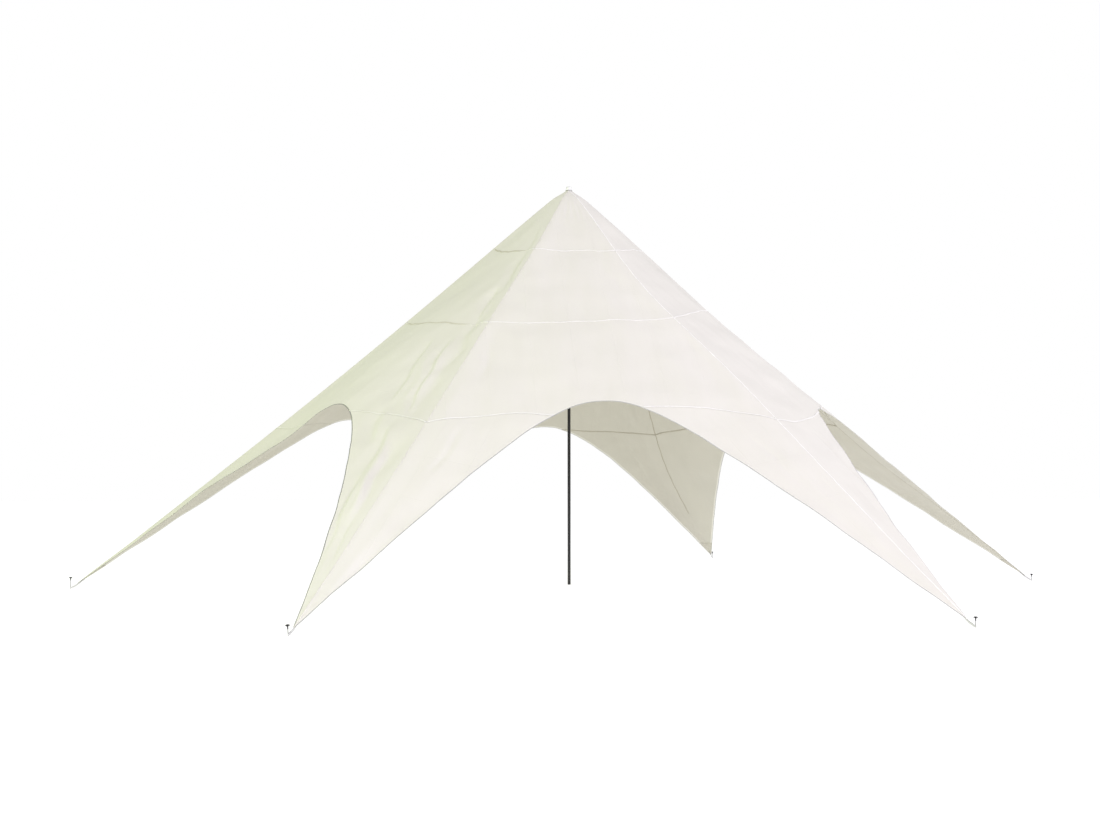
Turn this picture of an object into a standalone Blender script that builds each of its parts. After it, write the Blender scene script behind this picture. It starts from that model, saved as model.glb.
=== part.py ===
"""A star tent: one pole, six gores of cloth sewn along six ridges, and a peg at each arm's tip.

Metres, +Z up. The origin is on the ground under the pole. Arm 1 runs out along +X and the arms
are numbered anticlockwise, seen from above. Gore 1 lies between arm 1 and arm 2.

A point of a gore is given by s and t. t runs down the middle of the gore from the apex, and s
runs sideways, level with the ground, from -half_width(t) at one ridge to half_width(t) at the other.
"""

import math

import bmesh
import bpy

# Layout
ARMS = 6
PEG_CIRCLE = 6.0
RIDGE_APEX = 4.964
CLOTH_END = 0.982

# Cloth
ARCH_TOP = 4.22
ARCH_ROUND = 0.84
HEM_SLOPE = 1.305
LOWER_SEAM = 4.31
BILLOW = 0.18
BILLOW_ONSET = 0.84
RIDGE_SAG = 0.054
CLOTH_DROP = 0.007
COLLAR_REACH = 0.0415
BINDING_WIDTH = 0.025
BINDING_DROP = 0.009
GAP = 0.0003

# Corner strap
STRAP_HEIGHT = 0.024
STRAP_PLY = 0.002
STRAP_PLY_GAP = 0.0004
STRAP_SEWN = 0.06
STRAP_TUCK = 0.0003
STRAP_LIFT = 0.001
STRAP_SPREAD = 0.03

# Pegs, which are driven to different depths: how high each one stands out of the ground
PEG_STANDS = (0.090, 0.110, 0.100, 0.140, 0.100, 0.100)
PEG_RADIUS = 0.004
HEAD_RADIUS = 0.020
HEAD_SOCKET = 0.015
HEAD_RIM = 0.008
HEAD_UNDER = 0.012
NECK_RADIUS = 0.0063
NECK_LENGTH = 0.038

# Pole and cap
POLE_RADIUS = 0.019
POLE_WALL = 0.002
POLE_TOP = 4.905
POLE_JOINT = 2.45
SPIGOT_LENGTH = 0.10
FOOT_THICKNESS = 0.012
CAP_RADIUS = 0.0335
CAP_TOP = 4.977
CAP_EDGE = 0.002
SKIRT_RADIUS = 0.044
SKIRT_THICKNESS = 0.003
HUB_LENGTH = 0.05
COLUMN_RADIUS = 0.0295

# How finely the faces are cut
ARCH_RAYS = 4
SIDE_RAYS = 4
GORE_ROWS = 8
WING_COLUMNS = 4
WING_ROWS = 12
ROUND_SIDES = 24
SMALL_SIDES = 12

# The flat triangle that each gore is cut from
HALF_GORE = math.pi / ARMS
CHORD_HALF = PEG_CIRCLE * math.sin(HALF_GORE)
CHORD_REACH = PEG_CIRCLE * math.cos(HALF_GORE)
SLOPE_LENGTH = math.hypot(CHORD_REACH, RIDGE_APEX)
RUN = CHORD_REACH / SLOPE_LENGTH
FALL = RIDGE_APEX / SLOPE_LENGTH
CORNER = CLOTH_END * SLOPE_LENGTH
RIDGE_FALL = RIDGE_APEX / PEG_CIRCLE


def clear_scene():
    for thing in list(bpy.data.objects):
        bpy.data.objects.remove(thing, do_unlink=True)


def finish(name, colour, roughness, metallic):
    """A material with the piece's plain colour and gloss."""
    material = bpy.data.materials.new(name)
    material.use_nodes = True
    shader = material.node_tree.nodes["Principled BSDF"]
    shader.inputs["Base Color"].default_value = (*colour, 1.0)
    shader.inputs["Roughness"].default_value = roughness
    shader.inputs["Metallic"].default_value = metallic
    return material


def group(name, parent=None, x=0.0, turn=0.0):
    """An empty that carries a group of pieces."""
    holder = bpy.data.objects.new(name, None)
    holder.parent = parent
    holder.location.x = x
    holder.rotation_euler.z = turn
    bpy.context.scene.collection.objects.link(holder)
    return holder


def piece(name, mesh, holder):
    """One named piece, carried by its group's empty."""
    made = bpy.data.objects.new(name, mesh)
    made.parent = holder
    bpy.context.scene.collection.objects.link(made)
    return made


def mesh_of(name, shape, material, sharp=35.0):
    """Turns a finished bmesh into a mesh with its material and smooth rounds."""
    bmesh.ops.recalc_face_normals(shape, faces=shape.faces[:])
    mesh = bpy.data.meshes.new(name)
    shape.to_mesh(mesh)
    shape.free()
    mesh.materials.append(material)
    mesh.shade_smooth()
    mesh.set_sharp_from_angle(angle=math.radians(sharp))
    return mesh


def bisect(found, low, high):
    """The value between low and high at which found changes from true to false."""
    for _ in range(60):
        middle = (low + high) / 2
        if found(middle):
            low = middle
        else:
            high = middle
    return low


def half_width(t):
    return CHORD_HALF * t / SLOPE_LENGTH


def hem_slope(s):
    return HEM_SLOPE * s / math.hypot(s, ARCH_ROUND)


def hem_line(s, inset=0.0):
    """How far down the gore the hem lies at s: a round arch that runs out straight to the pegs."""
    arch = ARCH_TOP + HEM_SLOPE * (math.hypot(s, ARCH_ROUND) - ARCH_ROUND)
    return arch - inset * math.hypot(1.0, hem_slope(s))


def hem_reach(t, inset):
    """The distance s at which the hem, moved in by inset, is t down the gore."""
    return bisect(lambda s: hem_line(s, inset) < t, 0.0, CHORD_HALF)


def ray_end(share, inset):
    """How far down a straight line from the apex meets the hem, moved in by inset."""
    return bisect(lambda t: t < hem_line(share * half_width(t), inset), 0.0, SLOPE_LENGTH)


def ridge_sag(t):
    return -RIDGE_SAG * math.sin(math.pi * t / SLOPE_LENGTH) ** 2


def gore_point(s, t, drop=0.0):
    """The place of the cloth at s and t, on a gore whose middle runs out along +X."""
    half = half_width(t)
    billow = BILLOW * (half**2 - s**2) / (half**2 + BILLOW_ONSET**2)
    x = RUN * t + FALL * billow
    z = RIDGE_APEX - FALL * t + RUN * billow + ridge_sag(t)
    return x, s, z - drop


def sheet(across, down, place, drop):
    """A closed sheet: a grid laid out by place(column, row), and its underside, drop below it."""
    shape = bmesh.new()
    bmesh.ops.create_grid(shape, x_segments=across, y_segments=down, size=1.0)
    for vert in shape.verts:
        column = round((vert.co.x + 1) / 2 * across)
        row = round((vert.co.y + 1) / 2 * down)
        vert.co = place(column, row)
    made = bmesh.ops.extrude_face_region(shape, geom=shape.faces[:])
    under = [part for part in made["geom"] if isinstance(part, bmesh.types.BMVert)]
    bmesh.ops.translate(shape, verts=under, vec=(0.0, 0.0, -drop))
    return shape


def turned(outline, sides, ring=False):
    """A round solid from an outline of (radius, height) points, closed on itself if it is a ring."""
    shape = bmesh.new()
    corners = [shape.verts.new((radius, 0.0, height)) for radius, height in outline]
    edges = [shape.edges.new(pair) for pair in zip(corners, corners[1:])]
    if ring:
        edges.append(shape.edges.new((corners[-1], corners[0])))
    bmesh.ops.spin(
        shape,
        geom=corners + edges,
        cent=(0.0, 0.0, 0.0),
        axis=(0.0, 0.0, 1.0),
        angle=2 * math.pi,
        steps=sides,
        use_merge=True,
    )
    bmesh.ops.remove_doubles(shape, verts=shape.verts[:], dist=1e-6)
    return shape


def top_panel(material):
    """The upper part of a gore, from the collar at the apex to the lower seam and the arch."""
    inset = BINDING_WIDTH + GAP
    seam = LOWER_SEAM - GAP / 2
    notch = hem_reach(LOWER_SEAM, inset) / half_width(LOWER_SEAM)
    rays = ARCH_RAYS + SIDE_RAYS

    def place(column, row):
        count = abs(column - rays)
        side = math.copysign(1.0, column - rays)
        if count <= ARCH_RAYS:
            share = notch * count / ARCH_RAYS
            end = min(ray_end(share, inset), seam)
        else:
            share = notch + (1 - notch) * (count - ARCH_RAYS) / SIDE_RAYS
            end = seam
        t = COLLAR_REACH + (end - COLLAR_REACH) * row / GORE_ROWS
        return gore_point(side * share * (half_width(t) - GAP), t)

    shape = sheet(2 * rays, GORE_ROWS, place, CLOTH_DROP)
    return mesh_of("top_panel", shape, material)


def wing_row(row):
    """How far down the gore each row of a wing lies."""
    first = LOWER_SEAM + GAP / 2
    return first + (CORNER - first) * row / WING_ROWS


def wing_panel(side, material):
    """The lower part of a gore on one side of the arch, from the lower seam to the peg corner."""
    inset = BINDING_WIDTH + GAP

    def place(column, row):
        t = wing_row(row)
        inner = hem_reach(t, inset)
        outer = half_width(t) - GAP
        return gore_point(side * (inner + (outer - inner) * column / WING_COLUMNS), t)

    shape = sheet(WING_COLUMNS, WING_ROWS, place, CLOTH_DROP)
    return mesh_of("wing_panel", shape, material)


def binding_stations():
    """The inner edge of the hem binding as (s, t), from one peg corner over the arch to the other."""
    notch = hem_reach(LOWER_SEAM, BINDING_WIDTH) / half_width(LOWER_SEAM)
    right = []
    for ray in range(1, ARCH_RAYS):
        share = notch * ray / ARCH_RAYS
        t = ray_end(share, BINDING_WIDTH)
        right.append((share * half_width(t), t))
    for row in range(WING_ROWS + 1):
        t = wing_row(row)
        right.append((hem_reach(t, BINDING_WIDTH), t))
    left = [(-s, t) for s, t in reversed(right)]
    return left + [(0.0, hem_line(0.0, BINDING_WIDTH))] + right


def hem_binding(material):
    """The folded band sewn round the cloth's lower edge."""
    stations = binding_stations()

    def place(column, row):
        s, t = stations[row]
        if column == 0:
            return gore_point(s, t)
        lean = hem_slope(s)
        outer = s - BINDING_WIDTH * lean / math.hypot(1.0, lean)
        return gore_point(outer, hem_line(outer))

    shape = sheet(1, len(stations) - 1, place, BINDING_DROP)
    return mesh_of("hem_binding", shape, material)


def strap_path():
    """The middle of the webbing as (x, y, z) from the peg, out along one ply and back along the other."""
    ply_side = (STRAP_PLY + STRAP_PLY_GAP) / 2
    loop = PEG_RADIUS + GAP + STRAP_PLY / 2
    corner_x = -PEG_CIRCLE * (1 - CLOTH_END)
    top_drop = CLOTH_DROP + STRAP_PLY / 2 + STRAP_TUCK
    loop_z = STRAP_LIFT + STRAP_HEIGHT / 2

    def under_ridge(x):
        return -RIDGE_FALL * x - top_drop - STRAP_HEIGHT / 2

    ply = [
        (corner_x - STRAP_SEWN, ply_side, under_ridge(corner_x - STRAP_SEWN)),
        (corner_x, ply_side, under_ridge(corner_x)),
        (-STRAP_SPREAD, ply_side, loop_z + 0.2 * (under_ridge(corner_x) - loop_z)),
    ]
    turn_from = math.radians(110)
    turns = 8
    bend = []
    for step in range(turns + 1):
        angle = turn_from * (1 - 2 * step / turns)
        bend.append((loop * math.cos(angle), loop * math.sin(angle), loop_z))
    back = [(x, -y, z) for x, y, z in reversed(ply)]
    return ply + bend + back


def corner_strap(material):
    """A band of webbing on edge, folded in two round the foot of the peg."""
    path = strap_path()
    shape = bmesh.new()
    bmesh.ops.create_grid(shape, x_segments=1, y_segments=len(path) - 1, size=1.0)
    for vert in shape.verts:
        row = round((vert.co.y + 1) / 2 * (len(path) - 1))
        x, y, z = path[row]
        vert.co = (x, y, z + vert.co.x * STRAP_HEIGHT / 2)
    return mesh_of("corner_strap", shape, material)


def peg_shaft(stands, material):
    """The part of a peg's pin above the ground, which ends inside the head."""
    top = stands - HEAD_SOCKET
    outline = [(0.0, 0.0), (PEG_RADIUS, 0.0), (PEG_RADIUS, top), (0.0, top)]
    return mesh_of("ground_peg", turned(outline, SMALL_SIDES), material)


def peg_head(material):
    """The mushroom head with the socket that it is driven on by; its top is at zero height."""
    socket = PEG_RADIUS + GAP
    outline = [
        (0.0, GAP - HEAD_SOCKET),
        (socket, GAP - HEAD_SOCKET),
        (socket, -NECK_LENGTH),
        (NECK_RADIUS, -NECK_LENGTH),
        (NECK_RADIUS + 0.0008, -HEAD_UNDER - 0.004),
        (HEAD_RADIUS * 0.6, -HEAD_UNDER),
        (HEAD_RADIUS, -HEAD_RIM),
        (HEAD_RADIUS * 0.88, -0.0035),
        (HEAD_RADIUS * 0.5, -0.0006),
        (0.0, 0.0),
    ]
    return mesh_of("peg_head", turned(outline, SMALL_SIDES), material)


def pole_lower(material):
    """The lower tube, closed at the foot, with its swaged top that enters the upper tube."""
    bore = POLE_RADIUS - POLE_WALL
    spigot = bore - GAP
    outline = [
        (0.0, 0.0),
        (POLE_RADIUS, 0.0),
        (POLE_RADIUS, POLE_JOINT - 0.006),
        (spigot, POLE_JOINT),
        (spigot, POLE_JOINT + SPIGOT_LENGTH),
        (spigot - POLE_WALL, POLE_JOINT + SPIGOT_LENGTH),
        (spigot - POLE_WALL, POLE_JOINT - 0.006),
        (bore, POLE_JOINT - 0.012),
        (bore, FOOT_THICKNESS),
        (0.0, FOOT_THICKNESS),
    ]
    return mesh_of("pole_lower", turned(outline, ROUND_SIDES), material)


def pole_upper(material):
    """The upper tube, open at both ends."""
    bore = POLE_RADIUS - POLE_WALL
    outline = [
        (bore, POLE_JOINT + GAP),
        (POLE_RADIUS, POLE_JOINT + GAP),
        (POLE_RADIUS, POLE_TOP),
        (bore, POLE_TOP),
    ]
    return mesh_of("pole_upper", turned(outline, ROUND_SIDES, ring=True), material)


def apex_cap(material):
    """The cap whose hub stands in the pole and whose skirt covers the cloth's collar."""
    hub = POLE_RADIUS - POLE_WALL - GAP

    def skirt(radius):
        return RIDGE_APEX + GAP - RIDGE_FALL * radius

    outline = [
        (0.0, POLE_TOP - HUB_LENGTH),
        (hub, POLE_TOP - HUB_LENGTH),
        (hub, POLE_TOP + GAP),
        (COLUMN_RADIUS, POLE_TOP + GAP),
        (COLUMN_RADIUS, skirt(COLUMN_RADIUS)),
        (SKIRT_RADIUS, skirt(SKIRT_RADIUS)),
        (SKIRT_RADIUS, skirt(SKIRT_RADIUS) + SKIRT_THICKNESS),
        (CAP_RADIUS, skirt(CAP_RADIUS) + SKIRT_THICKNESS),
        (CAP_RADIUS, CAP_TOP - 2 * CAP_EDGE),
        (CAP_RADIUS - CAP_EDGE, CAP_TOP - CAP_EDGE / 2),
        (0.0, CAP_TOP),
    ]
    return mesh_of("apex_cap", turned(outline, ROUND_SIDES), material)


def build_tent():
    clear_scene()
    cloth = finish("cream_cloth", (0.86, 0.85, 0.78), 0.75, 0.0)
    grey_tape = finish("grey_tape", (0.55, 0.55, 0.53), 0.8, 0.0)
    webbing = finish("grey_webbing", (0.62, 0.62, 0.60), 0.8, 0.0)
    steel = finish("peg_steel", (0.70, 0.70, 0.70), 0.35, 1.0)
    plastic = finish("black_plastic", (0.015, 0.015, 0.016), 0.4, 0.0)
    paint = finish("pole_paint", (0.012, 0.012, 0.013), 0.45, 0.0)
    white = finish("white_plastic", (0.85, 0.85, 0.84), 0.45, 0.0)

    gore_meshes = {
        "canopy_top": top_panel(cloth),
        "canopy_wing_right": wing_panel(-1.0, cloth),
        "canopy_wing_left": wing_panel(1.0, cloth),
        "hem_binding": hem_binding(grey_tape),
    }
    strap = corner_strap(webbing)
    head = peg_head(plastic)

    tent = group("star_tent")
    for arm in range(ARMS):
        turn = 2 * HALF_GORE * arm
        gore = group(f"gore_{arm + 1}", tent, turn=turn + HALF_GORE)
        for name, mesh in gore_meshes.items():
            piece(f"{name}_{arm + 1}", mesh, gore)
        direction = group(f"arm_{arm + 1}", tent, turn=turn)
        tip = group(f"tip_{arm + 1}", direction, x=PEG_CIRCLE)
        piece(f"ground_peg_{arm + 1}", peg_shaft(PEG_STANDS[arm], steel), tip)
        piece(f"peg_head_{arm + 1}", head, tip).location.z = PEG_STANDS[arm]
        band = piece(f"corner_strap_{arm + 1}", strap, tip)
        thickness = band.modifiers.new("Ply", "SOLIDIFY")
        thickness.thickness = STRAP_PLY
        thickness.offset = 0.0
        thickness.use_even_offset = True

    piece("pole_lower", pole_lower(paint), tent)
    piece("pole_upper", pole_upper(paint), tent)
    piece("apex_cap", apex_cap(white), tent)


build_tent()
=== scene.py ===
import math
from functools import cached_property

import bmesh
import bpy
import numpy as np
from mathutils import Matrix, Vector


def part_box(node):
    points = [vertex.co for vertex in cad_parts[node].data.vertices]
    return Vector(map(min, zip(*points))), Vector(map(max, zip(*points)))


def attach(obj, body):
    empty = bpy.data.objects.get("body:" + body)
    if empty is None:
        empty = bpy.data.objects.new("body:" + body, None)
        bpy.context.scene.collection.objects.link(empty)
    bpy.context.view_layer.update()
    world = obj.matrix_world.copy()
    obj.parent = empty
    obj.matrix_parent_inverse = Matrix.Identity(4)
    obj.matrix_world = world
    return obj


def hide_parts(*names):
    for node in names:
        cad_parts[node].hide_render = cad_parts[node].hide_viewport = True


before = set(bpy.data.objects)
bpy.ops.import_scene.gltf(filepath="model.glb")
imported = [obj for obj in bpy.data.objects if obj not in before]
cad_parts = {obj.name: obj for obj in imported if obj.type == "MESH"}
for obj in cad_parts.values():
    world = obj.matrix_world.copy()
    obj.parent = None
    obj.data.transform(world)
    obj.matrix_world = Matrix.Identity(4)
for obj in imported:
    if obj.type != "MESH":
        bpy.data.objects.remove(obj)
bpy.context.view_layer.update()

# %% [markdown]
# # A star tent, dressed
#
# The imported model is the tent's skeleton: a pole, six gores cut into plain panels, six pegs.
# This lesson puts the real surfaces over it, in the order in which the tent is made: the cloth is
# cut flat, sewn along its seams and ridges, bound round the hem, reinforced at the corners, and
# then pitched with straps, pegs, pole and cap.
#
# Every length is in metres. The pole stands on the origin, arm 1 runs out along +X, and the arms
# are numbered anticlockwise as seen from above. Gore 1 lies between arm 1 and arm 2.

# %% [markdown]
# ## What the frame says about the size
#
# The pegs and the cap give the two lengths that everything hangs on: how far out the arms reach,
# and how high the ridges meet. Reading them from the frame keeps the cloth on the solid model
# if a length is ever changed there.

# %% The tent's driving sizes
ARMS = 6
HALF_GORE = math.pi / ARMS
peg_low, peg_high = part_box("ground_peg_1")
cap_low, cap_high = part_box("apex_cap")
PEG_CIRCLE = (peg_low.x + peg_high.x) / 2
CAP_ABOVE_RIDGES = 0.013
RIDGE_APEX = cap_high.z - CAP_ABOVE_RIDGES
CHORD_HALF = PEG_CIRCLE * math.sin(HALF_GORE)
CHORD_REACH = PEG_CIRCLE * math.cos(HALF_GORE)
SLOPE_LENGTH = math.hypot(CHORD_REACH, RIDGE_APEX)
RUN = CHORD_REACH / SLOPE_LENGTH
FALL = RIDGE_APEX / SLOPE_LENGTH
CORNER = 0.987 * SLOPE_LENGTH
print(f"pegs {PEG_CIRCLE:.3f} m out, ridges meet at {RIDGE_APEX:.3f} m, gores {SLOPE_LENGTH:.3f} m long")

# %% [markdown]
# ## The camera
#
# The photo was taken from about chest height, some seventeen metres in front of the pole, with a
# lens a bit shorter than normal. The camera stands there too and looks slightly up. It needs no
# shift, because a tilt of under three degrees keeps the pole upright enough.

# %% The camera where the photographer stood
CAMERA_PLACE = (-2.034, -16.860, 1.332)
CAMERA_PAN = math.radians(-6.078)
CAMERA_TILT = math.radians(2.739)


def in_scene(name, data):
    """A new object in the scene, at the origin."""
    made = bpy.data.objects.new(name, data)
    bpy.context.scene.collection.objects.link(made)
    return made


view = bpy.data.cameras.new("photo_camera")
view.lens = 44.55
view.sensor_width = 36.0
view.clip_end = 200.0
camera = in_scene("photo_camera", view)
camera.location = CAMERA_PLACE
camera.rotation_euler = (math.pi / 2 + CAMERA_TILT, 0.0, CAMERA_PAN)
bpy.context.scene.camera = camera
print("camera distance from the pole", round(math.hypot(*CAMERA_PLACE[:2]), 2))

# %% [markdown]
# ## The shape of a gore
#
# A gore is a triangle of cloth between two ridges, with an arch cut out of its lower edge. A place
# on it is given as on the cutting table: t runs down the middle from the apex, and s runs
# sideways, from one ridge to the other. Three things bend the flat triangle when the tent is
# pitched: the ridges sag under the cloth's weight and stray a little to one side, the hem's
# tension swells the gore outwards between them, and no two arches come out quite alike.
#
# Numpy arrays carry whole grids of such places through these formulas at once. The hem is half of
# a hyperbola on each side: round at the arch's top and nearly straight beyond, towards the pegs.

# %% The hem of each gore
# How far down the arch's top lies, how round the arch is on either side of its middle, and how far
# the gore swells.
ARCHES = {
    1: (4.239, 1.06, 0.73, 0.133),
    2: (4.284, 0.98, 0.95, 0.171),
    3: (4.255, 0.95, 0.95, 0.190),
    4: (4.260, 1.69, 1.14, 0.267),
    5: (4.190, 0.78, 0.84, 0.132),
    6: (4.220, 0.57, 1.06, 0.181),
}
HEM_TIP = 2.950


def half_width(t):
    return CHORD_HALF * t / SLOPE_LENGTH


def roundness(gore, s):
    return np.where(np.asarray(s) < 0.0, ARCHES[gore][1], ARCHES[gore][2])


def hem_slant(gore, s):
    """How steeply the straight part of the hem runs, so that it ends at the peg corner."""
    bend = roundness(gore, s)
    return (CORNER - ARCHES[gore][0]) / (np.hypot(HEM_TIP, bend) - bend)


def hem_line(gore, s):
    """How far down the gore its hem lies at s."""
    bend = roundness(gore, s)
    return ARCHES[gore][0] + hem_slant(gore, s) * (np.hypot(s, bend) - bend)


def hem_reach(gore, t, side):
    """How far from the middle of the gore its hem lies at t, towards the arm on that side."""
    bend = roundness(gore, side)
    arm = bend + np.maximum(t - ARCHES[gore][0], 0.0) / hem_slant(gore, side)
    return np.sqrt(arm**2 - bend**2)


def hem_lean(gore, s):
    """The slope of the hem at s."""
    return hem_slant(gore, s) * s / np.hypot(s, roundness(gore, s))


for gore in ARCHES:
    print(f"gore {gore}: arch top {ARCHES[gore][0]:.2f} m down, slant {float(hem_slant(gore, 1.0)):.3f}")

# %% [markdown]
# ## Folds
#
# Taut cloth is never smooth. Long folds run from the shoulders of an arch towards the peg that
# pulls on them, a shallow swell wanders over the rest, and fine pleats gather at the collar. A
# simulation would put them anywhere, so the folds that the photo shows are listed one by one, as crests
# and as steps, and the others are drawn from a seeded random generator. The relief dies out at
# the ridges, so that neighbouring gores still meet.

# %% The folds that the photo shows
# Each is given by its start and end, both as s and t, its width and its height. A step's height is
# how far the cloth rises across it, towards the next arm.
SEEN_CRESTS = {
    4: [
        ((0.60, 3.00), (1.36, 4.40), 0.085, 0.012),
        ((1.52, 4.62), (2.30, 5.95), 0.050, 0.014),
        ((0.30, 0.95), (1.46, 4.30), 0.130, -0.020),
        ((1.62, 5.20), (2.46, 6.45), 0.050, -0.010),
    ],
    5: [
        ((-1.38, 4.36), (-1.86, 5.34), 0.045, -0.007),
        ((-1.10, 3.05), (-1.28, 3.85), 0.060, -0.005),
        ((1.35, 4.50), (1.95, 5.55), 0.060, -0.005),
    ],
}
SEEN_STEPS = {
    4: [
        ((0.22, 0.80), (0.54, 1.46), 0.030, 0.025),
        ((0.44, 1.30), (0.74, 2.05), 0.034, 0.025),
        ((0.56, 1.95), (0.97, 2.86), 0.032, 0.029),
        ((0.42, 2.92), (1.06, 4.28), 0.034, 0.033),
        ((0.72, 2.86), (1.50, 4.52), 0.032, 0.034),
        ((0.86, 3.00), (1.60, 4.60), 0.055, -0.029),
        ((0.98, 4.20), (1.42, 4.92), 0.060, 0.036),
        ((1.36, 4.42), (1.82, 5.32), 0.040, 0.040),
        ((1.56, 4.66), (2.28, 5.86), 0.038, -0.036),
        ((1.68, 5.12), (2.10, 5.98), 0.044, 0.036),
        ((2.22, 5.70), (2.62, 6.42), 0.032, 0.021),
        ((1.24, 4.04), (1.48, 4.42), 0.032, -0.021),
    ],
}


def smooth(x):
    """0 below 0, 1 above 1, and a smooth rise between them."""
    x = np.clip(x, 0.0, 1.0)
    return x * x * (3.0 - 2.0 * x)


def along_fold(s, t, start, end, width):
    """How far a place lies across a fold, in its widths, and how the fold fades at its ends."""
    along_s, along_t = end[0] - start[0], end[1] - start[1]
    length = math.hypot(along_s, along_t)
    along = ((s - start[0]) * along_s + (t - start[1]) * along_t) / length**2
    off = ((s - start[0]) * along_t - (t - start[1]) * along_s) / length
    off = off + 0.35 * width * np.sin(9.0 * along * length + 5.0 * start[0])
    return off / width, smooth(along / 0.35) * smooth((1.0 - along) / 0.35)


def crest(s, t, start, end, width, height):
    """A crest between two shallow troughs."""
    off, fade = along_fold(s, t, start, end, width)
    return height * fade * (1.0 - 0.9 * off**2) * np.exp(-(off**2))


def step(s, t, start, end, width, height):
    """A crease: the cloth climbs steeply over its width and falls back gently on both sides."""
    off, fade = along_fold(s, t, start, end, width)
    return height * fade * 0.5 * np.tanh(1.3 * off) * np.exp(-((off / 4.0) ** 2))


print("folds laid by hand", sum(len(folds) for seen in (SEEN_CRESTS, SEEN_STEPS) for folds in seen.values()))

# %% The relief of the cloth
RIDGE_CALM = 0.11
HEM_CALM = 0.16
COLLAR_PLEATS = 0.35


def wandering(s, t, seed, size, height, waves=9):
    """A soft irregular swell of about the given size, the same on every run."""
    draw = np.random.default_rng(seed)
    total = np.zeros_like(s)
    for _ in range(waves):
        direction = draw.uniform(0.0, 2.0 * math.pi)
        wave = size * draw.uniform(0.7, 1.6)
        phase = draw.uniform(0.0, 2.0 * math.pi)
        total += np.sin((s * math.cos(direction) + t * math.sin(direction)) * 2 * math.pi / wave + phase)
    return height * total / math.sqrt(waves / 2.0)


def drawn_folds(gore):
    """Folds of a gore that the photo doesn't show, from the arch's shoulders towards both pegs."""
    draw = np.random.default_rng(400 + gore)
    folds = []
    for side in (-1.0, 1.0):
        for _ in range(5):
            t = draw.uniform(2.6, 5.2)
            share = draw.uniform(0.45, 0.8)
            length = draw.uniform(0.7, 1.4)
            lean = side * (CHORD_HALF / SLOPE_LENGTH) * draw.uniform(0.95, 1.25)
            start = (side * share * half_width(t), t)
            end = (start[0] + lean * length, t + length)
            folds.append((start, end, draw.uniform(0.045, 0.07), draw.uniform(-0.012, 0.009)))
    return folds


CRESTS = {gore: SEEN_CRESTS.get(gore) or drawn_folds(gore) for gore in ARCHES}


def relief(gore, s, t):
    """How far the cloth stands out from its smooth shape."""
    from_ridge = np.maximum(half_width(t) - np.abs(s), 0.0)
    above_hem = np.maximum(hem_line(gore, s) - t, 0.0)
    height = wandering(s, t, 70 + gore, 0.75, 0.0045) + wandering(s, t, 90 + gore, 0.28, 0.0012)
    height += sum(crest(s, t, *fold) for fold in CRESTS[gore])
    creases = sum(step(s, t, *fold) for fold in SEEN_STEPS.get(gore, []))
    height += creases * (1.0 - np.exp(-((above_hem / HEM_CALM) ** 2)))
    pleats = np.sin(46.0 * np.arctan2(s, t) + gore)
    height += 0.0035 * pleats * np.exp(-(((t - COLLAR_PLEATS) / COLLAR_PLEATS) ** 2))
    for side in (-1.0, 1.0):
        to_peg = np.hypot(s - side * CHORD_HALF, t - SLOPE_LENGTH)
        swing = np.arctan2(side * CHORD_HALF - s, SLOPE_LENGTH - t)
        pull = smooth((to_peg - 0.25) / 0.8) * smooth((3.2 - to_peg) / 1.6)
        height += 0.004 * pull * np.sin(34.0 * swing + 1.7 * gore + side)
    return height * (1.0 - np.exp(-((from_ridge / RIDGE_CALM) ** 2)))


print("folds on each gore", {gore: len(CRESTS[gore]) + len(SEEN_STEPS.get(gore, [])) for gore in ARCHES})

# %% [markdown]
# ## From the cutting table to the pitched tent
#
# One function takes places on a flat gore to their places in the air. Everything that is sewn to
# the cloth, such as a seam, a tape or a patch, goes through the same function with a small lift,
# and so follows every fold by itself.

# %% Ridges and swell
RIDGE_SAG = 0.042
SHOULDER_LIFT = 0.034
RIDGE_KINK = 0.25
SWELL_ONSET = 1.23
SWELL_POWER = 4
# Where a ridge strays from its plane: how far anticlockwise, how far down, about which t, over what reach.
RIDGE_STRAY = {
    1: [(0.0, 0.050, 2.9, 1.3), (0.0, 0.080, 4.7, 0.9)],
    2: [(0.155, 0.0, 5.0, 1.4)],
    5: [(0.040, 0.0, 1.2, 1.0)],
    6: [(-0.150, 0.060, 1.9, 1.25)],
}
# Where the hem pulls a gore's swell in: s, t, reach in s, reach in t, depth.
HOLLOWS = {4: (-0.95, 4.75, 0.62, 0.80, 0.090)}


def ridge_sag(t):
    """How far the ridges hang below a straight line; near the apex the collar holds them up."""
    shoulder = SHOULDER_LIFT * smooth((t - 0.03) / 0.25) * np.exp(-((t / 1.3) ** 2))
    return shoulder - RIDGE_SAG * np.sin(math.pi * t / SLOPE_LENGTH) ** 2


def ridge_rounding(t, from_ridge):
    """The cloth turns over a ridge in a soft bend, which is wider lower down and gone at the tip."""
    radius = 0.025 + 0.075 * smooth((t - 0.8) / 4.0)
    return -RIDGE_KINK * radius * np.exp(-from_ridge / radius) * smooth((CORNER - t) / 0.9)


def swell(s, t):
    """The swell's profile: flat beside the ridges above, a plain bow further down."""
    half = half_width(t)
    bow = np.maximum(1.0 - (s / half) ** 2, 0.0)
    onset = half**SWELL_POWER / (half**SWELL_POWER + SWELL_ONSET**SWELL_POWER)
    return onset * bow ** (2.0 - 0.5 * smooth((t - 3.0) / 1.7))


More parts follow.
